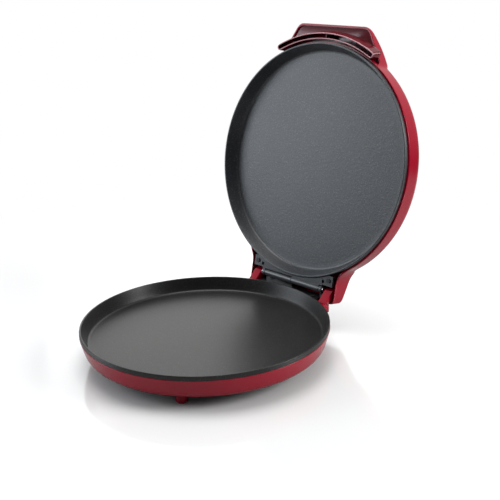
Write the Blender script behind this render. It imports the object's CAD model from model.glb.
import math

import bmesh
import bpy
import numpy as np
from mathutils import Matrix, Vector


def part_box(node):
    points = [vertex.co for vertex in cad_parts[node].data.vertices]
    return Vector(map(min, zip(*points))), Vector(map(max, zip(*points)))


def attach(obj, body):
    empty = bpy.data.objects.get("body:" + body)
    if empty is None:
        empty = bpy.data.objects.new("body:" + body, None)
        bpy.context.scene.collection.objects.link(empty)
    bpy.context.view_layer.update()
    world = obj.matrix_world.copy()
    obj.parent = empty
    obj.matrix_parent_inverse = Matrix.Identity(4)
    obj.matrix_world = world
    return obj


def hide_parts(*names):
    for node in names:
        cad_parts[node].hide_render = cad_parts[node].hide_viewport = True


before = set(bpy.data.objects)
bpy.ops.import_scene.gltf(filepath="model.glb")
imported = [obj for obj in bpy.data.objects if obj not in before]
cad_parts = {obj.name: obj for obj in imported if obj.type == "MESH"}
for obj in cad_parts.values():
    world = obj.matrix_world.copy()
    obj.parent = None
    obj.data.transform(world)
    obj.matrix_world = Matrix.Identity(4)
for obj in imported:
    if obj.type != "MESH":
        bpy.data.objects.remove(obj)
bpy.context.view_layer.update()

# Every length is in millimetres unless its comment says otherwise. One unit of the scene is a metre.
MM = 0.001

# Camera, fitted to the four tray edges in the photograph: angles in degrees, place and reach in metres
AZIMUTH_DEG, ELEVATION_DEG, ROLL_DEG = 44.884, 18.873, -1.354
CAMERA_PLACE, CAMERA_REACH = (0.8015, -0.7741, 0.5070), (0.05, 50)
LENS, SENSOR_W = 65.8, 36

# Trays and rims
TRAY_R = 159.0
RIM_LAND, RIM_ROUND = 2.2, 0.9
WALL_LEAN = 9.2
RIM_BAND, BAND_ROUND = 6.0, 0.4
SEAT_W = 2.6
SPIGOT_H, SPIGOT_TAPER, SPIGOT_ROUND = 3.5, 0.8, 0.8
FLOOR_R, FLOOR_FILLET, UNDERSIDE_OUT = TRAY_R - WALL_LEAN, 4.0, 2
BASE_DEPTH, BASE_FLOOR_T = 18.0, 3.6
LID_DEPTH, LID_FLOOR_T = 18.6, 2.6
REFLECTOR_DROP, BOSS_RING, BOSS_R, POST_R = 8.6, 60.0, 3.4, 4
SCREW_HOLE_R, HOLE_FLOOR_T = 1.6, 0.6
BOSS_ANGLES, POST_ANGLES = np.radians([90, 210, 330]), np.radians([45, 135, 225, 315])

# Base shell with its cover's ledge and its feet
RIM_H = 46.0
FOOT_H = 8.0
BASE_BOTTOM = FOOT_H - RIM_H
SHELL_R, SHELL_LEAN, SHELL_ROUND, SHELL_WALL, SHELL_EDGE = 159.4, 6.4, 15.0, 2.4, 0.35
COVER_R, COVER_FIT, COVER_T = 122.0, 0.3, 2
LEDGE_W, LEDGE_TOP = 8, BASE_BOTTOM + COVER_T + 2
BELLY_RISE, BELLY_FLAT = 8.0, 2
BELLY_R = COVER_R + COVER_FIT + SHELL_WALL + BELLY_FLAT
FOOT_X, FOOT_Y, FOOT_R, FOOT_ROUND = 74.94, 109.03, 7.5, 1.0
PAD_R, PAD_PROUD, PAD_FIT, PAD_POCKET = 5.5, 1.4, 0.15, 1.6
FOOT_RISE = BELLY_RISE * (math.hypot(FOOT_X, FOOT_Y) + FOOT_R - BELLY_R) / (SHELL_R - SHELL_LEAN - BELLY_R)

# Lid shell
LID_R, LID_WALL, LID_ROOF = 161.4, 2.2, 2.6
FLANK_H, DOME_ROUND, CROWN = 23.5, 13.0, 4.0
DOME_TOP, DOME_EDGE_R = FLANK_H + DOME_ROUND, LID_R - DOME_ROUND
SEAT_FIT, SEAT_H = 0.3, 2.0
OUTER_EDGE, INNER_EDGE = 0.5, 0.4
FLARE_X, FLARE_Y = 111.15, TRAY_R - 45.3

# Handle in front and skirt behind, with the run over which the flank turns into either of them
FLANK_BLEND = 3.0
TAB_FRONT, TAB_HALF_W, TAB_CORNER, TAB_ROUND = 184.0, 60.0, 12.0, 8
TAB_BEND_X, TAB_BEND_Y, TAB_BEND_R = 88, TRAY_R - 23.8, 40
TAB_BOTTOM, LIP_W, LIP_H = 15.0, 3.2, 1.5
PANEL_Z, PANEL_T, PANEL_INSET, PANEL_HALF_W = 16.5, 1.6, 2.9, 95.5
BEAK_RUN, BEAK_DROP = 44.0, 20.0
SKIRT_REAR, SKIRT_HALF_W, SKIRT_CORNER, SKIRT_ROUND = 184.0, 77.5, 5, 7
SKIRT_BEND_Y, SKIRT_BEND_R = TRAY_R - 12.7, 30
SKIRT_BOTTOM, SKIRT_REAR_TOP, SKIRT_EDGE_H = 4.0, 24.0, 0.6
SLOPE_START, SLOPE_SOFT = TRAY_R - 9.5, 5.0
CROWN_R = (DOME_EDGE_R ** 2 + CROWN ** 2) / (2 * CROWN)
BEAK_R = (BEAK_RUN ** 2 + BEAK_DROP ** 2) / (2 * BEAK_DROP)

# Finger guard under the handle
GUARD_IN, GUARD_OUT, GUARD_WALL, GUARD_LEAN, GUARD_BOTTOM = 163.4, 171.7, 1.5, 4.0, 0.6
GUARD_MID, GUARD_TOP = (GUARD_IN + GUARD_OUT) / 2, PANEL_Z + 0.3
GUARD_END_R = (GUARD_OUT - GUARD_IN) / 2 - GUARD_WALL / 2
GUARD_HALF, ROOF_FROM = math.radians(28), math.radians(22)
GUARD_STOP, GUARD_STOP_RUN, PANEL_HALF_DEG, FRONT_BAND_DEG = 2.6, 0.8, 38, 52
ROOF_TOP, ROOF_T = TAB_BOTTOM - 0.3, 1.5
WEB_T, WEB_BOTTOM = 1.2, 3.2

# Hinge, with the ears and the neck of the base beside and under it
AXIS_Y, AXIS_Z, LID_AXIS_Z, OPEN_DEG = 167.5, 6.8, 6.4, 102.7
BARREL_R, BARREL_L, KNUCKLE_L, WASHER_T = 5.0, 49.0, 4.2, 1.0
EAR_GAP, EAR_T, EAR_ROUND, EAR_RISE = 4.3, 13, 0.9, 1.7
EAR_IN = BARREL_L + WASHER_T * 1.5 + KNUCKLE_L + EAR_GAP
EAR_OUT = EAR_IN + EAR_T
EAR_REAR_R, EAR_REAR_DEG = SKIRT_REAR - LID_WALL - AXIS_Y - 1.1, (7.4, -68)
EAR_FRONT_Y, EAR_FRONT_Z, EAR_LOW_Z = TRAY_R - 7, -5.6, -8
EAR_TOP_Y, EAR_SLOPE_ROUND = (AXIS_Y - 1, AXIS_Y + 4), 3.5
NECK_REAR, NECK_LOW, NECK_TOP = TRAY_R + 0.8, -19.0, -6.1

# Meshes: points nearer than the weld distance (metres) become one, and sharper edges stay sharp
WELD, SLIVER, SHARP_DEG = 2e-6, 1e-6, 35

# Coating: scales of its clouds, grain and flecks per metre, shares, and where a fleck fades in its cell
COATING_CLOUD, COATING_GRAIN, COATING_GRAIN_SHARE, COATING_DRIFT, COATING_BUMP = 7, 420, 0.7, 0.08, 0.5
FLECK_SCALE, FLECK_EDGE, FLECK_COLOUR = 400, (0.12, 0.3), (0.3, 0.32, 0.35)

# Lamps: name, place, point faced and side in metres, power in watts, colour
LAMPS = (
    ("top_lamp", (-0.3, 0.1, 2.4), (0, 0, 0.1), 1.4, 26, (1, 1, 1)),
    ("right_lamp", (1.7, 1.1, 1.1), (0, 0.05, 0.2), 1.0, 33, (1, 1, 1)),
    ("rear_panel", (-1.7, 1.7, 1.25), (0, -0.05, 0.05), 1.7, 9, (1, 1, 1)),
    ("front_panel", (-1.5, -1.2, 0.72), (0, 0.15, 0.24), 1.1, 14.5, (0.86, 0.93, 1.0)))

# Room: the side of the sky that is bright, and how bright the sky is away from it and at it
SKY_SIDE, SKY_DIM, SKY_BRIGHT = (-0.38, 0.42, 0.82), 0.06, 0.85

# Floor: distances from the middle in metres between which it turns white to the camera and dim to other
# rays, that dim grey, its grey to other rays and to the camera, and half its side
FLOOR_WHITE, FLOOR_DIM, FLOOR_DIM_GREY = (0.3, 0.75), (0.9, 1.7), 0.1
FLOOR_GREY, FLOOR_PALE, FLOOR_ROUGH, FLOOR_HALF = 0.5, 0.9, 0.12, 6.0

tray_low, tray_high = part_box("base_tray")
BASE_Y = (tray_low[1] + tray_high[1]) / 2 / MM


def base_place():
    """Moves points written from the middle of the base rim to their place in the frame."""
    return Matrix.Translation((0, BASE_Y * MM, RIM_H * MM)) @ Matrix.Scale(MM, 4)


def lid_place():
    """Moves points written from the middle of the rim of a closed lid to the open lid: the lid turns
    back round the hinge axis by the opening angle."""
    return (Matrix.Translation((0, (BASE_Y + AXIS_Y) * MM, (RIM_H + AXIS_Z) * MM))
            @ Matrix.Rotation(math.radians(-OPEN_DEG), 4, "X")
            @ Matrix.Scale(MM, 4)
            @ Matrix.Translation((0, -AXIS_Y, -LID_AXIS_Z)))


def make_camera():
    """Camera that looks along its azimuth and elevation, turned by its roll about the line of sight."""
    azimuth, elevation, roll = (math.radians(a) for a in (AZIMUTH_DEG, ELEVATION_DEG, ROLL_DEG))
    back = Vector((math.sin(azimuth) * math.cos(elevation), -math.cos(azimuth) * math.cos(elevation),
                   math.sin(elevation)))
    level_right = Vector((math.cos(azimuth), math.sin(azimuth), 0))
    level_up = back.cross(level_right)
    right = level_right * math.cos(roll) + level_up * math.sin(roll)
    up = level_up * math.cos(roll) - level_right * math.sin(roll)
    data = bpy.data.cameras.new("camera")
    data.sensor_width, data.lens = SENSOR_W, LENS
    data.clip_start, data.clip_end = CAMERA_REACH
    camera = bpy.data.objects.new("camera", data)
    bpy.context.scene.collection.objects.link(camera)
    turn = Matrix((right, up, back)).transposed().to_4x4()
    camera.matrix_world = Matrix.Translation(CAMERA_PLACE) @ turn
    bpy.context.scene.camera = camera


make_camera()
BASE, LID = base_place(), lid_place()
LID_TURNED_OVER = LID @ Matrix.Scale(-1, 4, (0, 0, 1))


# Meshes
def add_piece(name, parts, material, body, replaced):
    """Joins parts (points, faces) into one mesh, merges doubles, turns faces outward, shades it smooth
    but for its sharp edges, and rides it on its body in the place of the nodes it replaces."""
    bm = bmesh.new()
    for points, faces in parts:
        mesh = bpy.data.meshes.new("part")
        mesh.from_pydata(points, [], faces)
        mesh.update()
        bm.from_mesh(mesh)
        bpy.data.meshes.remove(mesh)
    bmesh.ops.remove_doubles(bm, verts=bm.verts, dist=WELD)
    bmesh.ops.dissolve_degenerate(bm, dist=SLIVER, edges=bm.edges)
    bmesh.ops.recalc_face_normals(bm, faces=bm.faces)
    mesh = bpy.data.meshes.new(name)
    bm.to_mesh(mesh)
    bm.free()
    piece = bpy.data.objects.new(name, mesh)
    bpy.context.scene.collection.objects.link(piece)
    mesh.shade_smooth()
    mesh.set_sharp_from_angle(angle=math.radians(SHARP_DEG))
    mesh.materials.append(material)
    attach(piece, body)
    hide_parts(*replaced)


def placed(points, place):
    """Rows of points after a 4x4 place matrix."""
    m = np.array(place)
    return points @ m[:3, :3].T + m[:3, 3]


def grid_faces(rows, cols, close_rows, close_cols):
    """Quads between neighbours of a rows x cols grid of points, closed round where asked."""
    i = np.arange(rows if close_rows else rows - 1)
    j = np.arange(cols if close_cols else cols - 1)
    a, b = (x.ravel() for x in np.meshgrid(i, j, indexing="ij"))
    a1, b1 = (a + 1) % rows, (b + 1) % cols
    return np.stack([a * cols + b, a1 * cols + b, a1 * cols + b1, a * cols + b1], 1).tolist()


def grid_part(grid, place, close_rows=True, close_cols=False):
    """A rows x cols x 3 grid as (points, faces) at its place."""
    rows, cols = grid.shape[:2]
    return placed(grid.reshape(-1, 3), place), grid_faces(rows, cols, close_rows, close_cols)


def arc(radius, angles, centre=(0, 0)):
    """Points at a radius and angles round a centre: centre + radius * (cos, sin)."""
    return np.asarray(centre) + np.stack([radius * np.cos(angles), radius * np.sin(angles)], -1)


def fillet(a, b, c, r, steps):
    """Points on the circle of radius r that touches the lines a-b and b-c, from one to the other. Its
    centre lies on the bisector of the corner, r / sin(half the corner) away from b."""
    u, v = (a - b) / np.linalg.norm(a - b), (c - b) / np.linalg.norm(c - b)
    half = math.acos(np.clip(u @ v, -1, 1)) / 2
    centre = b + (u + v) / np.linalg.norm(u + v) * r / math.sin(half)
    p, q = b + u * r / math.tan(half) - centre, b + v * r / math.tan(half) - centre
    turn = np.arctan2(p[0] * q[1] - p[1] * q[0], p @ q)
    t = np.linspace(0, turn, steps)[:, None]
    side = np.array([-p[1], p[0]])
    return centre + p * np.cos(t) + side * np.sin(t)


def rounded_path(corners, steps=7, closed=False):
    """A path through [x, y, corner radius] rows with each corner rounded by its circle."""
    pts = [np.array(c[:2], float) for c in corners]
    n, out = len(pts), []
    for i, (x, y, r) in enumerate(corners):
        inner = closed or 0 < i < n - 1
        out.append(fillet(pts[i - 1], pts[i], pts[(i + 1) % n], r, steps) if inner and r > 0 else pts[i][None])
    return np.concatenate(out)


def denser(path, longest, closed=False):
    """The path with each of its steps cut into equal parts no longer than the given length."""
    starts = path if closed else path[:-1]
    steps = (np.roll(path, -1, 0) if closed else path[1:]) - starts
    count = np.maximum(1, np.ceil(np.linalg.norm(steps, axis=1) / longest)).astype(int)
    place = np.arange(count.sum()) - np.repeat(np.cumsum(count) - count, count)
    share = (place / np.repeat(count, count))[:, None]
    points = np.repeat(starts, count, 0) + np.repeat(steps, count, 0) * share
    return points if closed else np.concatenate([points, path[-1:]])


def ring_closed(path):
    """The path with its first point again at the end."""
    return np.concatenate([path, path[:1]])


def revolved(path, place, steps=360, centre=(0, 0)):
    """Surface of a side path [radius, z] turned once round the upright line through the centre:
    (radius * cos, radius * sin, z) over the angle and along the path."""
    a = np.linspace(0, 2 * math.pi, steps, endpoint=False)[:, None]
    r, z = path[:, 0][None], path[:, 1][None]
    grid = np.stack([centre[0] + r * np.cos(a), centre[1] + r * np.sin(a), z + 0 * a], -1)
    return grid_part(grid, place)


def slab(outline, low, high, edge, place, plane="xy", steps=4):
    """Solid of a closed outline between two levels. Its edges are rounded: each ring of points is the
    outline drawn inward along its corner normals by edge * (1 - sin) while the level is edge * (1 - cos)
    away from the nearer face."""
    before, after = outline - np.roll(outline, 1, 0), np.roll(outline, -1, 0) - outline
    before /= np.linalg.norm(before, axis=1)[:, None]
    after /= np.linalg.norm(after, axis=1)[:, None]
    bisector = before + after
    bisector /= np.linalg.norm(bisector, axis=1)[:, None]
    area = np.sum(outline[:, 0] * np.roll(outline[:, 1], -1) - np.roll(outline[:, 0], -1) * outline[:, 1])
    inward = np.stack([-bisector[:, 1], bisector[:, 0]], 1) * np.sign(area)
    reach = 1 / np.clip(np.abs(np.sum(inward * np.stack([-after[:, 1], after[:, 0]], 1), 1)), 0.5, 1)
    t = np.linspace(0, math.pi / 2, steps)
    inset = np.concatenate([edge * (1 - np.sin(t)), edge * (1 - np.sin(t[::-1]))])
    level = np.concatenate([low + edge * (1 - np.cos(t)), high - edge * (1 - np.cos(t[::-1]))])
    rings = outline[:, None] + inward[:, None] * (reach[:, None] * inset[None])[..., None]
    u, v, w = rings[..., 0], rings[..., 1], np.broadcast_to(level, rings.shape[:2])
    grid = np.stack({"xy": (u, v, w), "yz": (w, u, v)}[plane], -1)
    points, faces = grid_part(grid, place)
    n, cols = grid.shape[:2]
    first = np.arange(n) * cols
    return points, faces + [first.tolist(), (first + cols - 1).tolist()]


# Shader nodes
def feed(tree, node, values):
    """Joins each named input of a node to the socket given for it, or sets it to the value given."""
    for label, value in values.items():
        if isinstance(value, bpy.types.NodeSocket):
            tree.links.new(value, node.inputs[label])
        else:
            node.inputs[label].default_value = value


def add_node(tree, kind, inputs=None, **settings):
    """A shader node with its settings, and its inputs joined or set."""
    node = tree.nodes.new("ShaderNode" + kind)
    for name, value in settings.items():
        setattr(node, name, value)
    feed(tree, node, inputs or {})
    return node


def calculated(tree, operation, first, second):
    """A number worked out from two others."""
    return add_node(tree, "Math", {0: first, 1: second}, operation=operation).outputs[0]


def ranged(tree, value, low, high, start=0.0, end=1.0):
    """A number that runs from start to end while the value runs from low to high."""
    return add_node(tree, "MapRange", {"Value": value, "From Min": low, "From Max": high, "To Min": start,
                                       "To Max": end}).outputs["Result"]


def mixed_colour(tree, share, first, second):
    """A colour between two others, by a share from 0 to 1."""
    return add_node(tree, "Mix", {0: share, 6: first, 7: second}, data_type="RGBA").outputs[2]


def mixed_shader(tree, share, first, second):
    """A shader between two others, by a share from 0 to 1."""
    return add_node(tree, "MixShader", {0: share, 1: first, 2: second}).outputs["Shader"]


def opaque(colour):
    """A colour with full alpha."""
    return (*colour, 1)


def new_material(name):
    """An empty node material, its tree, and its Principled shader, which is joined to the output."""
    material = bpy.data.materials.new(name)
    material.use_nodes = True
    tree = material.node_tree
    tree.nodes.clear()
    shader = add_node(tree, "BsdfPrincipled")
    add_node(tree, "OutputMaterial", {"Surface": shader.outputs["BSDF"]})
    return material, tree, shader


def surface_group():
    """Shared finish: two colours mixed by soft clouds and a fine grain, a roughness that drifts with
    the clouds, and the height of the grain for a bump."""
    tree = bpy.data.node_groups.new("drifting_finish", "ShaderNodeTree")
    for label, kind in (("Vector", "Vector"), ("Colour", "Color"), ("Second Colour", "Color"),
                        ("Cloud Scale", "Float"), ("Grain Scale", "Float"), ("Grain Share", "Float"),
                        ("Roughness", "Float"), ("Roughness Drift", "Float")):
        tree.interface.new_socket(label, in_out="INPUT", socket_type="NodeSocket" + kind)
    for label, kind in (("Colour", "Color"), ("Roughness", "Float"), ("Height", "Float")):
        tree.interface.new_socket(label, in_out="OUTPUT", socket_type="NodeSocket" + kind)
    given = tree.nodes.new("NodeGroupInput").outputs
    cloud, grain = (
        add_node(tree, "TexNoise", {"Vector": given["Vector"], "Scale": given[scale],
                                    "Detail": detail}).outputs["Fac"]
        for scale, detail in (("Cloud Scale", 3), ("Grain Scale", 2)))
    blend = add_node(tree, "Mix", {0: given["Grain Share"], 2: cloud, 3: grain}).outputs[0]
    off_middle = calculated(tree, "SUBTRACT", cloud, 0.5)
    rough = add_node(tree, "Math", {0: off_middle, 1: given["Roughness Drift"], 2: given["Roughness"]},
                     operation="MULTIPLY_ADD").outputs[0]
    feed(tree, tree.nodes.new("NodeGroupOutput"), {
        "Colour": mixed_colour(tree, ranged(tree, blend, 0.3, 0.7), given["Colour"], given["Second Colour"]),
        "Roughness": rough, "Height": grain})
    return tree


FINISH = surface_group()


def finish_node(tree, colour, second, rough, drift, grain, grain_share, cloud):
    """The shared finish with its own values, on the Object coordinates of the piece."""
    return add_node(tree, "Group", {
        "Vector": add_node(tree, "TexCoord").outputs["Object"], "Colour": opaque(colour),
        "Second Colour": opaque(second), "Cloud Scale": cloud, "Grain Scale": grain, "Grain Share": grain_share,
        "Roughness": rough, "Roughness Drift": drift}, node_tree=FINISH).outputs


def bump_normal(tree, height, strength, distance_mm):
    """Normal of a surface that stands out by a height."""
    return add_node(tree, "Bump", {"Strength": strength, "Distance": distance_mm * MM,
                                   "Height": height}).outputs["Normal"]


def finish_material(name, colour, second, rough, drift=0.05, metallic=0.0, grain=900, grain_share=0.2, cloud=12,
                    bump=0.0, bump_mm=0.02, coat=0.0, coat_rough=0.05, specular=0.5, transmission=0.0):
    """A material whose colour, roughness and bump come from the shared finish."""
    material, tree, shader = new_material(name)
    finish = finish_node(tree, colour, second, rough, drift, grain, grain_share, cloud)
    feed(tree, shader, {
        "Base Color": finish["Colour"], "Roughness": finish["Roughness"], "Metallic": metallic,
        "Coat Weight": coat, "Coat Roughness": coat_rough, "Specular IOR Level": specular,
        "Transmission Weight": transmission})
    if bump:
        feed(tree, shader, {"Normal": bump_normal(tree, finish["Height"], bump, bump_mm)})
    return material


def coating_material(name, colour, second, rough, specular, fleck_share, bump_mm):
    """Non-stick coating: dark, with pale flecks about a millimetre wide and a fine pebbled bump."""
    material, tree, shader = new_material(name)
    finish = finish_node(tree, colour, second, rough, COATING_DRIFT, COATING_GRAIN, COATING_GRAIN_SHARE,
                         COATING_CLOUD)
    cells = add_node(tree, "TexVoronoi", {"Vector": add_node(tree, "TexCoord").outputs["Object"],
                                          "Scale": FLECK_SCALE})
    fleck = ranged(tree, cells.outputs["Distance"], *FLECK_EDGE, fleck_share, 0.0)
    feed(tree, shader, {
        "Base Color": mixed_colour(tree, fleck, finish["Colour"], opaque(FLECK_COLOUR)),
        "Roughness": finish["Roughness"], "Specular IOR Level": specular,
        "Normal": bump_normal(tree, finish["Height"], COATING_BUMP, bump_mm)})
    return material


def turn_colour(material, share, colour):
    """Mixes another colour into a material by a share from 0 to 1."""
    tree = material.node_tree
    shader = next(n for n in tree.nodes if n.type == "BSDF_PRINCIPLED")
    own = shader.inputs["Base Color"].links[0].from_socket
    feed(tree, shader, {"Base Color": mixed_colour(tree, share, own, opaque(colour))})


def dim_bounce(material, colour):
    """Gives a material a quieter colour in the light that it throws on its surroundings."""
    turn_colour(material, add_node(material.node_tree, "LightPath").outputs["Is Diffuse Ray"], colour)


def colour_below(material, place, low_mm, high_mm, colour):
    """Turns a piece towards another colour at its lower side, between two heights over the rim of the
    base or lid that the place stands for. The height is the point along the rim's upward direction."""
    tree = material.node_tree
    up, rim = place.to_3x3() @ Vector((0, 0, 1)), place @ Vector((0, 0, 0))
    up.normalize()
    height = add_node(tree, "VectorMath", {0: add_node(tree, "TexCoord").outputs["Object"], 1: up},
                      operation="DOT_PRODUCT").outputs["Value"]
    low, high = (up.dot(rim) + mm * MM for mm in (low_mm, high_mm))
    turn_colour(material, ranged(tree, height, low, high, 1.0, 0.0), colour)


# Materials: colour, second colour, roughness, and where they differ from the plain finish the rest
RED = finish_material("red_gloss", (0.35, 0.003, 0.020), (0.40, 0.004, 0.025), 0.17, 0.04, grain=260,
                      grain_share=0.15, cloud=9, coat=0.06, coat_rough=0.06, specular=0.36)
GUARD_RED = finish_material("red_guard", (0.12, 0.003, 0.010), (0.15, 0.004, 0.012), 0.2, 0.05, grain=260,
                            grain_share=0.15, cloud=9, coat=0.1, specular=0.45)
dim_bounce(RED, (0.06, 0.03, 0.03))
dim_bounce(GUARD_RED, (0.03, 0.02, 0.02))
colour_below(GUARD_RED, LID, 0.9, 1.8, (0.62, 0.30, 0.34))
BLACK = finish_material("black_plastic", (0.012, 0.012, 0.013), (0.022, 0.022, 0.023), 0.45, 0.1, bump=0.3)
COVER = finish_material("cover_paint", (0.015, 0.015, 0.017), (0.025, 0.025, 0.027), 0.5, 0.1, bump=0.2)
RUBBER = finish_material("rubber_pad", (0.013, 0.013, 0.013), (0.024, 0.024, 0.024), 0.8, 0.1, bump=0.4)
HINGE_BLACK = finish_material("hinge_black", (0.042, 0.045, 0.051), (0.062, 0.066, 0.074), 0.3, 0.1, bump=0.1,
                              coat=0.3, coat_rough=0.2, specular=0.7)
HINGE_GREY = finish_material("hinge_grey", (0.042, 0.045, 0.052), (0.062, 0.066, 0.075), 0.3, 0.1, bump=0.1,
                             coat=0.3, coat_rough=0.2, specular=0.7)
colour_below(HINGE_BLACK, BASE, AXIS_Z - BARREL_R, AXIS_Z - BARREL_R + 1.2, (0.008, 0.008, 0.009))
DARK_STEEL = finish_material("dark_screw", (0.03, 0.03, 0.033), (0.05, 0.05, 0.054), 0.35, 0.1, metallic=0.7,
                             bump=0.2)
STEEL = finish_material("pin_steel", (0.55, 0.56, 0.58), (0.7, 0.7, 0.71), 0.2, 0.08, metallic=1.0, grain=500)
SHEET = finish_material("sheet_steel", (0.45, 0.46, 0.47), (0.58, 0.59, 0.6), 0.3, 0.12, metallic=1.0, cloud=30)
ELEMENT = finish_material("element_steel", (0.2, 0.19, 0.18), (0.34, 0.32, 0.29), 0.42, 0.12, metallic=1.0,
                          cloud=40)
CERAMIC = finish_material("ceramic_part", (0.66, 0.62, 0.53), (0.74, 0.7, 0.61), 0.6, 0.1, bump=0.2)
SLEEVE = finish_material("lead_sleeve", (0.5, 0.47, 0.4), (0.6, 0.56, 0.48), 0.65, 0.1, bump=0.4, grain=1500)
LENS_RED = finish_material("lens_red", (0.45, 0.02, 0.012), (0.55, 0.03, 0.02), 0.1, 0.03, coat=0.5,
                           transmission=0.3)
LENS_GREEN = finish_material("lens_green", (0.02, 0.28, 0.05), (0.03, 0.36, 0.07), 0.1, 0.03, coat=0.5,
                             transmission=0.3)
GLASS = finish_material("lamp_glass", (0.8, 0.76, 0.66), (0.86, 0.82, 0.72), 0.08, 0.02, transmission=0.7)
BASE_COATING = coating_material("base_nonstick", (0.009, 0.0085, 0.0082), (0.021, 0.020, 0.0195), 0.35, 0.4,
                                0.12, 0.12)
LID_COATING = coating_material("lid_nonstick", (0.011, 0.013, 0.017), (0.030, 0.035, 0.043), 0.42, 1.0,
                               0.32, 0.45)


# Cast trays
def tray_path(depth, floor_t):
    """Side path [radius, z] of a tray: out along its floor, up the leaning wall, over the rim, down the
    band, in under the seat, down the tapered spigot and back under the floor."""
    seat_r, under = TRAY_R - SEAT_W, -depth - floor_t
    return denser(rounded_path([
        [0, -depth, 0], [FLOOR_R, -depth, FLOOR_FILLET], [TRAY_R - RIM_LAND, 0, RIM_ROUND], [TRAY_R, 0, RIM_ROUND],
        [TRAY_R, -RIM_BAND, BAND_ROUND], [seat_r, -RIM_BAND, BAND_ROUND],
        [seat_r - SPIGOT_TAPER, -RIM_BAND - SPIGOT_H, SPIGOT_ROUND],
        [FLOOR_R + UNDERSIDE_OUT, under, FLOOR_FILLET], [0, under, 0]]), 7)


def bosses(bottom, top, outer, ring, angles, place):
    """Round bosses on a ring, each with a blind screw hole from below: the boss's side path turned
    round its own axis."""
    hole_end = top - HOLE_FLOOR_T
    path = rounded_path([[0, hole_end, 0], [SCREW_HOLE_R, hole_end, 0], [SCREW_HOLE_R, bottom, 0.2],
                         [outer, bottom, 0.5], [outer, top, 0], [0, top, 0]], 4)
    return [revolved(path, place, 32, centre) for centre in arc(ring, angles)]


def tray_parts(depth, floor_t, place):
    """A tray with the three bosses under its floor that carry the reflector."""
    under = -depth - floor_t
    return [revolved(tray_path(depth, floor_t), place),
            *bosses(under - REFLECTOR_DROP, under + floor_t / 2, BOSS_R, BOSS_RING, BOSS_ANGLES, place)]


def base_tray_posts():
    """Four posts from the base tray's floor down to the cover's ledge."""
    return bosses(LEDGE_TOP, -BASE_DEPTH - BASE_FLOOR_T / 2, POST_R, COVER_R - LEDGE_W / 2, POST_ANGLES, BASE)


base_tray_parts = tray_parts(BASE_DEPTH, BASE_FLOOR_T, BASE) + base_tray_posts()
lid_tray_parts = tray_parts(LID_DEPTH, LID_FLOOR_T, LID_TURNED_OVER)
add_piece("base_tray_cast", base_tray_parts, BASE_COATING, "base", ["base_tray"])
add_piece("lid_tray_cast", lid_tray_parts, LID_COATING, "lid", ["lid_tray"])


# Base shell
def base_shell_path():
    """Closed side path [radius, z] of the base shell: down the leaning flank, in along the rising belly
    to the cover's ledge, over the ledge and back up inside, drawn in by the wall."""
    hole_r, ledge_in = COVER_R + COVER_FIT, COVER_R - LEDGE_W
    flank_r, belly = SHELL_R - SHELL_LEAN, BASE_BOTTOM + BELLY_RISE
    return denser(rounded_path([
        [SHELL_R, -RIM_BAND, SHELL_EDGE], [flank_r, belly, SHELL_ROUND], [BELLY_R, BASE_BOTTOM, 1.0],
        [hole_r, BASE_BOTTOM, 0.3], [hole_r, BASE_BOTTOM + COVER_T, 0], [ledge_in, BASE_BOTTOM + COVER_T, 0],
        [ledge_in, LEDGE_TOP, 0], [hole_r + SHELL_WALL, LEDGE_TOP, 0],
        [hole_r + SHELL_WALL, BASE_BOTTOM + SHELL_WALL, 0],
        [flank_r - SHELL_WALL, belly + SHELL_WALL, SHELL_ROUND - SHELL_WALL],
        [SHELL_R - SHELL_WALL, -RIM_BAND, SHELL_EDGE]], 12, closed=True), 8, closed=True)


def ear_outline():
    """Side outline [y, z] of an ear: a slope in front, a flat top at the back and a round rear that
    follows the lid's swing, down to the neck."""
    rear = arc(EAR_REAR_R, np.radians(np.linspace(*EAR_REAR_DEG, 12)), (AXIS_Y, AXIS_Z))
    top = AXIS_Z + EAR_RISE
    front = rounded_path([[EAR_FRONT_Y, EAR_LOW_Z, 0], [EAR_FRONT_Y, EAR_FRONT_Z, 0.5],
                          [EAR_TOP_Y[0], top, EAR_SLOPE_ROUND], [EAR_TOP_Y[1], top, 0]], 6)
    back = np.array([[NECK_REAR + 0.4, -7.0], [NECK_REAR, EAR_LOW_Z]])
    return denser(np.concatenate([front, rear, back]), 2.5, closed=True)


def neck_outline(half, inner_r):
    """Neck seen from above: the shell's arc in front and a straight edge behind, between two sides."""
    x = np.linspace(-half, half, 81)
    front = np.stack([x, np.sqrt(inner_r ** 2 - x ** 2)], 1)
    return denser(np.concatenate([front, [[half, NECK_REAR], [-half, NECK_REAR]]]), 3, closed=True)


def base_shell_parts():
    """The shell turned round its middle, four feet with a pocket for a pad, two ears and the neck."""
    foot_top, foot_bottom = BASE_BOTTOM + FOOT_RISE + SHELL_WALL / 2, PAD_PROUD - RIM_H
    pocket_r = PAD_R + PAD_FIT
    foot = rounded_path([[0, foot_top, 0], [FOOT_R, foot_top, 0], [FOOT_R, foot_bottom, FOOT_ROUND],
                         [pocket_r, foot_bottom, 0.2], [pocket_r, foot_bottom + PAD_POCKET, 0],
                         [0, foot_bottom + PAD_POCKET, 0]], 6)
    feet = [revolved(foot, BASE, 48, (sx * FOOT_X, sy * FOOT_Y)) for sx in (-1, 1) for sy in (-1, 1)]
    ears = [slab(ear_outline(), *span, EAR_ROUND, BASE, "yz") for span in ((EAR_IN, EAR_OUT), (-EAR_OUT, -EAR_IN))]
    neck = slab(neck_outline(EAR_OUT, SHELL_R - SHELL_WALL - 0.4), NECK_LOW, NECK_TOP, 0.5, BASE)
    return [revolved(ring_closed(base_shell_path()), BASE), *feet, *ears, neck]


add_piece("base_shell_moulded", base_shell_parts(), RED, "base", ["base_shell"])


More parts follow.
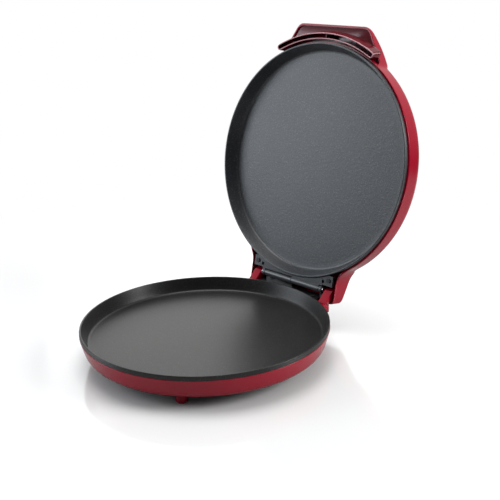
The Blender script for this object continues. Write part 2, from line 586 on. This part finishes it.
# Lid shell
def ease(x):
    """Smooth step from 0 to 1: x * x * (3 - 2 x)."""
    x = np.clip(x, 0, 1)
    return x * x * (3 - 2 * x)


def ray_lengths(outline, angles):
    """Distance from the middle to a closed outline along each angle, read between its points."""
    a, r = np.arctan2(outline[:, 1], outline[:, 0]), np.linalg.norm(outline, axis=1)
    order = np.argsort(a)
    return np.interp(angles, a[order], r[order], period=2 * math.pi)


def lid_outline(count=840):
    """Lid seen from above: at each angle the farthest of the circle, the handle and the skirt, drawn
    smooth by a mean of five neighbours, with its points the same distance apart."""
    tab = [[FLARE_X, -FLARE_Y, 0], [TAB_BEND_X, -TAB_BEND_Y, TAB_BEND_R], [TAB_HALF_W, -TAB_FRONT, TAB_CORNER]]
    skirt = [[FLARE_X, FLARE_Y, 0], [SKIRT_HALF_W, SKIRT_BEND_Y, SKIRT_BEND_R],
             [SKIRT_HALF_W, SKIRT_REAR, SKIRT_CORNER]]
    angles = np.linspace(-math.pi, math.pi, 14400, endpoint=False)
    reach = np.full_like(angles, LID_R)
    for half in (tab, skirt):
        path = denser(rounded_path(half + [[-x, y, r] for x, y, r in half[::-1]], 24), 1.0)
        span = np.sort(np.arctan2(path[:, 1], path[:, 0]))
        inside = (angles >= span[0]) & (angles <= span[-1])
        reach = np.where(inside, np.maximum(reach, ray_lengths(path, angles)), reach)
    xy = arc(reach, angles)
    along = np.concatenate([[0], np.cumsum(np.linalg.norm(np.roll(xy, -1, 0) - xy, axis=1))])
    where = np.linspace(0, along[-1], count, endpoint=False)
    closed = ring_closed(xy)
    xy = np.stack([np.interp(where, along, closed[:, k]) for k in (0, 1)], 1)
    weights = np.array([1, 4, 6, 4, 1]) / 16
    for _ in range(2):
        xy = sum(w * np.roll(xy, s, 0) for w, s in zip(weights, (-2, -1, 0, 1, 2)))
    r = np.linalg.norm(xy, axis=1)
    return xy * (np.maximum(r, LID_R) / r)[:, None]


def lid_top(x, y):
    """Height of the lid's top over a point: a shallow crown, less the beak's circle in front and the
    slope over the hinge behind."""
    r2 = x * x + y * y
    crown = DOME_TOP + np.sqrt(CROWN_R ** 2 - np.minimum(r2, DOME_EDGE_R ** 2)) - (CROWN_R - CROWN)
    run = np.clip(-y - (TAB_FRONT - BEAK_RUN), 0, BEAK_RUN)
    beak = BEAK_R - np.sqrt(BEAK_R ** 2 - run ** 2)
    slope = (DOME_TOP - SKIRT_REAR_TOP) / (SKIRT_REAR - SLOPE_START)
    back = y - SLOPE_START
    return crown - beak - slope * (np.sqrt(back ** 2 + SLOPE_SOFT ** 2) + back) / 2


def lid_section():
    """Closed side path for every outline point. Outside: up the flank, over the rounded edge, then in
    to the middle. Inside: the same drawn in by the wall, down to the seat, lip or skirt edge."""
    xy = lid_outline()
    r, y = np.linalg.norm(xy, axis=1), xy[:, 1]
    unit, proud = xy / r[:, None], r - LID_R
    handle = ease(proud / FLANK_BLEND) * (y < 0)
    skirt = ease(proud / FLANK_BLEND) * (y > 0)
    plain = (1 - handle) * (1 - skirt)
    low = RIM_BAND + (TAB_BOTTOM - RIM_BAND) * handle + (SKIRT_BOTTOM - RIM_BAND) * skirt
    rounding = DOME_ROUND + (TAB_ROUND - DOME_ROUND) * handle + (SKIRT_ROUND - DOME_ROUND) * skirt
    seat_w = (LID_R - (TRAY_R - SEAT_W + SEAT_FIT)) * plain + LIP_W * handle + LID_WALL * skirt
    seat_top = low + SEAT_H * plain + LIP_H * handle + SKIRT_EDGE_H * skirt

    def ring(inset, z):
        """The outline drawn in towards the middle by an inset, at a height."""
        return np.concatenate([unit * (r - inset)[:, None], (z + 0 * r)[:, None]], 1)

    def top_over(inset):
        """Height of the lid's top over the outline drawn in by an inset."""
        return lid_top(*(unit * (r - inset)[:, None]).T)

    def sheet(inset, drop, start, flank_steps, edge_steps, top_steps):
        """Rings of one side of the wall: straight up the flank, over a quarter circle of the edge, and in
        to the middle in steps that grow with the power 1.7."""
        edge_r = np.maximum(rounding - inset, 1.0)
        hub = inset + edge_r
        flank = np.maximum(top_over(hub) - drop - edge_r, start + 0.6)
        rings = [ring(inset, start + (flank - start) * t) for t in np.arange(1, flank_steps + 1) / flank_steps]
        for a in np.arange(1, edge_steps + 1) / edge_steps * math.pi / 2:
            depth = inset + edge_r * (1 - math.cos(a))
            rings.append(ring(depth, flank + (top_over(depth) - drop - flank) * math.sin(a)))
        for s in (np.arange(1, top_steps + 1) / top_steps) ** 1.7:
            depth = hub + (r - hub) * s
            rings.append(ring(depth, top_over(depth) - drop))
        return rings

    outer = [ring(OUTER_EDGE * (1 - math.sin(a)), low + OUTER_EDGE * (1 - math.cos(a)))
             for a in np.radians([0, 30, 60, 90])]
    outer += sheet(0 * r, 0.0, low + OUTER_EDGE, 7, 14, 34)
    bottom = [ring(seat_w - INNER_EDGE * (1 - math.sin(a)), low + INNER_EDGE * (1 - math.cos(a)))
              for a in np.radians([90, 45, 0])]
    wall = LID_WALL * (1 - handle) + seat_w * handle
    inner = [ring(seat_w, seat_top), ring(wall, seat_top), *sheet(wall, LID_ROOF, seat_top, 4, 8, 12)]
    return np.stack(inner[::-1] + bottom + outer, 1)


def front_band():
    """Wall of the rim that shows under the handle: a closed section carried along an arc."""
    a = np.radians(np.linspace(-90 - FRONT_BAND_DEG, -90 + FRONT_BAND_DEG, 160))
    seat_r, out_r, wall_r = TRAY_R - SEAT_W + 0.4, LID_R - 0.05, LID_R - LID_WALL
    side = rounded_path([[seat_r, RIM_BAND, 0.3], [out_r, RIM_BAND, 0.5], [out_r, PANEL_Z - 0.1, 0],
                         [wall_r, PANEL_Z - 0.1, 0], [wall_r, RIM_BAND + SEAT_H, 0],
                         [seat_r, RIM_BAND + SEAT_H, 0.3]], 4, closed=True)
    c, s = np.cos(a)[:, None], np.sin(a)[:, None]
    grid = np.stack([side[:, 0] * c, side[:, 0] * s, side[:, 1] + 0 * c], -1)
    points, faces = grid_part(grid, LID, close_rows=False, close_cols=True)
    n, cols = grid.shape[:2]
    first = np.arange(cols)
    return points, faces + [first.tolist(), (first[::-1] + (n - 1) * cols).tolist()]


add_piece("lid_shell_moulded", [grid_part(lid_section(), LID), front_band()], RED, "lid", ["lid_shell"])


# Handle panel and finger guard
def guard_loop():
    """Line that runs once round the guard: outer arc, round end, inner arc, round end. With it come
    each point's radius and how far it leans out at the panel."""
    sweep = np.linspace(-GUARD_HALF, GUARD_HALF, 121) - math.pi / 2
    turn = np.linspace(0, math.pi, 25)[1:-1]
    ends = [arc(GUARD_END_R, middle + start + turn, arc(GUARD_MID, middle))
            for middle, start in ((GUARD_HALF - math.pi / 2, 0), (-GUARD_HALF - math.pi / 2, math.pi))]
    loop = np.concatenate([arc(GUARD_MID + GUARD_END_R, sweep), ends[0],
                           arc(GUARD_MID - GUARD_END_R, sweep[::-1]), ends[1]])
    radius = np.linalg.norm(loop, axis=1)
    return loop, radius, GUARD_LEAN * ease((radius - GUARD_MID + GUARD_END_R) / (2 * GUARD_END_R))


def guard_wall():
    """Upright wall along the guard's line. Its section is a thin upright slab with a round lower edge,
    and the outer arc leans out with height. Past the handle's edge the wall stops under the handle."""
    loop, radius, lean = guard_loop()
    ahead = np.roll(loop, -1, 0) - np.roll(loop, 1, 0)
    ahead /= np.linalg.norm(ahead, axis=1)[:, None]
    side = np.stack([ahead[:, 1], -ahead[:, 0]], 1)
    half = GUARD_WALL / 2
    low_edge = arc(half, -np.radians(np.linspace(0, 180, 9)), (0, GUARD_BOTTOM + half))
    section = denser(np.concatenate([[[half, GUARD_TOP]], low_edge, [[-half, GUARD_TOP]]]), 3, closed=True)
    rise = (section[:, 1] - GUARD_BOTTOM) / (GUARD_TOP - GUARD_BOTTOM)
    out = loop / radius[:, None]
    plan = (loop[:, None] + side[:, None] * section[None, :, :1]
            + out[:, None] * (lean[:, None] * rise[None])[..., None])
    inside = ray_lengths(lid_outline(), np.arctan2(loop[:, 1], loop[:, 0])) - radius - lean
    limit = ROOF_TOP + (GUARD_TOP - ROOF_TOP) * ease((inside - GUARD_STOP) / GUARD_STOP_RUN)
    height = np.minimum(np.broadcast_to(section[None, :, 1], plan.shape[:2]), limit[:, None])
    grid = np.concatenate([plan, height[..., None]], -1)
    return grid_part(grid, LID, close_rows=True, close_cols=True)


def guard_end_roofs():
    """Thin covers over the two ends of the guard's channel, where it leaves the handle: plates that
    follow the guard's line round each end, leaning out as far as the wall does at their height."""
    loop, radius, lean = guard_loop()
    low = ROOF_TOP - ROOF_T
    line = loop * (1 + lean / radius * low / PANEL_Z)[:, None]
    plates = []
    for sign in (-1, 1):
        turned = line if sign > 0 else np.roll(line, len(line) // 2, 0)
        end = turned[sign * turned[:, 0] / -turned[:, 1] > math.tan(ROOF_FROM)]
        plates.append(slab(denser(end, 3, closed=True), low, ROOF_TOP, 0.1, LID, "xy", 3))
    return plates


def guard_panel():
    """Thin panel between the rim and the front of the handle. Across it a point runs from the rim's
    arc to the handle's plan, drawn in from the edge of the handle and cut at its straight front."""
    angles = np.radians(np.linspace(-PANEL_HALF_DEG, PANEL_HALF_DEG, 241) - 90)
    far = ray_lengths(lid_outline(), angles) - PANEL_INSET
    far = np.minimum(far, -(TAB_FRONT - PANEL_INSET) / np.sin(angles))
    far = np.minimum(far, PANEL_HALF_W / np.maximum(np.abs(np.cos(angles)), 1e-6))
    near = np.full_like(far, TRAY_R - SEAT_W - 2)
    far = np.maximum(far, near + 0.5)
    outline = denser(np.concatenate([arc(near, angles), arc(far, angles)[::-1]]), 3, closed=True)
    return slab(outline, PANEL_Z, PANEL_Z + PANEL_T, 0.2, LID, "xy", 3)


def guard_web():
    """Thin upright web across the middle of the guard's channel, wider at the panel than below."""
    rear = -GUARD_MID + 2.9
    side = rounded_path([[-GUARD_MID - 6.9, PANEL_Z, 0], [-GUARD_MID - 3.4, WEB_BOTTOM, 0.6],
                         [rear, WEB_BOTTOM, 0.6], [rear, PANEL_Z, 0]], 4, closed=True)
    return slab(side, -WEB_T / 2, WEB_T / 2, 0.3, LID, "yz", 3)


add_piece("handle_guard_moulded", [guard_wall(), guard_panel(), guard_web(), *guard_end_roofs()], GUARD_RED, "lid",
          ["handle_guard"])

# The other nodes keep their solids
CARRIED = {
    "base_cover": COVER, "foot_pads": RUBBER, "cover_screws": STEEL, "base_element": ELEMENT,
    "base_element_clips": SHEET, "base_reflector": SHEET, "base_reflector_screws": STEEL, "thermostat": CERAMIC,
    "thermostat_screws": STEEL, "thermal_fuse": CERAMIC, "fuse_clip": SHEET, "terminal_block": CERAMIC,
    "base_leads": SLEEVE, "cord_gland": BLACK, "base_hinge_bracket": HINGE_BLACK,
    "base_bracket_screws": DARK_STEEL, "hinge_pin": STEEL, "hinge_washers": BLACK, "pin_clip": STEEL,
    "guard_screws": DARK_STEEL, "lid_element": ELEMENT, "lid_element_clips": SHEET, "lid_reflector": SHEET,
    "lid_reflector_screws": STEEL, "lid_hinge_bracket": HINGE_GREY, "lid_bracket_screws": DARK_STEEL,
    "power_lens": LENS_RED, "ready_lens": LENS_GREEN, "pilot_lamps": GLASS, "lid_leads": SLEEVE}
for node, material in CARRIED.items():
    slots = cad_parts[node].material_slots
    for s in slots:
        s.material = material


# Floor, light and world
def grey(level):
    """A grey of the given level."""
    return (level, level, level, 1)


def make_floor():
    """Pale glossy floor that keeps the shadow near the object. Far from it the floor turns plain white
    to the camera and dim to other rays. From below it is clear, so that the underside can be seen."""
    material, tree, shader = new_material("studio_floor")
    output = shader.outputs["BSDF"].links[0].to_node
    seen = add_node(tree, "LightPath").outputs["Is Camera Ray"]
    distance = add_node(tree, "VectorMath", {0: add_node(tree, "TexCoord").outputs["Object"]},
                        operation="LENGTH").outputs["Value"]
    white, dim = (add_node(tree, "Emission", {"Color": grey(level)}).outputs["Emission"]
                  for level in (1, FLOOR_DIM_GREY))
    feed(tree, shader, {"Base Color": mixed_colour(tree, seen, grey(FLOOR_GREY), grey(FLOOR_PALE)),
                        "Roughness": FLOOR_ROUGH, "Specular IOR Level": 1.0})
    dim_share = calculated(tree, "MULTIPLY", calculated(tree, "SUBTRACT", 1, seen),
                           ranged(tree, distance, *FLOOR_DIM))
    white_share = calculated(tree, "MULTIPLY", ranged(tree, distance, *FLOOR_WHITE), seen)
    above = mixed_shader(tree, white_share, mixed_shader(tree, dim_share, shader.outputs["BSDF"], dim), white)
    below = add_node(tree, "BsdfTransparent").outputs["BSDF"]
    underneath = add_node(tree, "NewGeometry").outputs["Backfacing"]
    feed(tree, output, {"Surface": mixed_shader(tree, underneath, above, below)})
    mesh = bpy.data.meshes.new("floor")
    corners = [(x * FLOOR_HALF, y * FLOOR_HALF, 0) for x, y in ((-1, -1), (1, -1), (1, 1), (-1, 1))]
    mesh.from_pydata(corners, [], [(0, 1, 2, 3)])
    mesh.materials.append(material)
    floor = bpy.data.objects.new("floor", mesh)
    bpy.context.scene.collection.objects.link(floor)


def make_lamp(name, place, target, size, power, colour):
    """Square soft lamp of the given size, power and colour that faces its target."""
    data = bpy.data.lights.new(name, "AREA")
    data.shape, data.size, data.energy, data.color = "SQUARE", size, power, colour
    lamp = bpy.data.objects.new(name, data)
    lamp.location = place
    lamp.rotation_euler = (Vector(target) - Vector(place)).to_track_quat("-Z", "Y").to_euler()
    bpy.context.scene.collection.objects.link(lamp)


def make_world():
    """Room that is plain white to the camera and through glass. Surfaces are lit by a sky that grows
    brighter the nearer a direction is to its bright side."""
    world = bpy.data.worlds.new("white_room")
    bpy.context.scene.world = world
    world.use_nodes = True
    tree = world.node_tree
    tree.nodes.clear()
    toward = add_node(tree, "VectorMath", {0: add_node(tree, "TexCoord").outputs["Generated"], 1: SKY_SIDE},
                      operation="DOT_PRODUCT").outputs["Value"]
    sky = add_node(tree, "Background", {"Color": grey(1),
                                        "Strength": ranged(tree, toward, 0.0, 1.0, SKY_DIM, SKY_BRIGHT)})
    white = add_node(tree, "Background", {"Color": grey(1), "Strength": 1.0})
    path = add_node(tree, "LightPath").outputs
    plain = calculated(tree, "MAXIMUM", path["Is Camera Ray"], path["Is Transmission Ray"])
    add_node(tree, "OutputWorld", {"Surface": mixed_shader(tree, plain, sky.outputs[0], white.outputs[0])})


make_floor()
make_world()
for lamp in LAMPS:
    make_lamp(*lamp)
bpy.context.scene.view_settings.view_transform = "Standard"
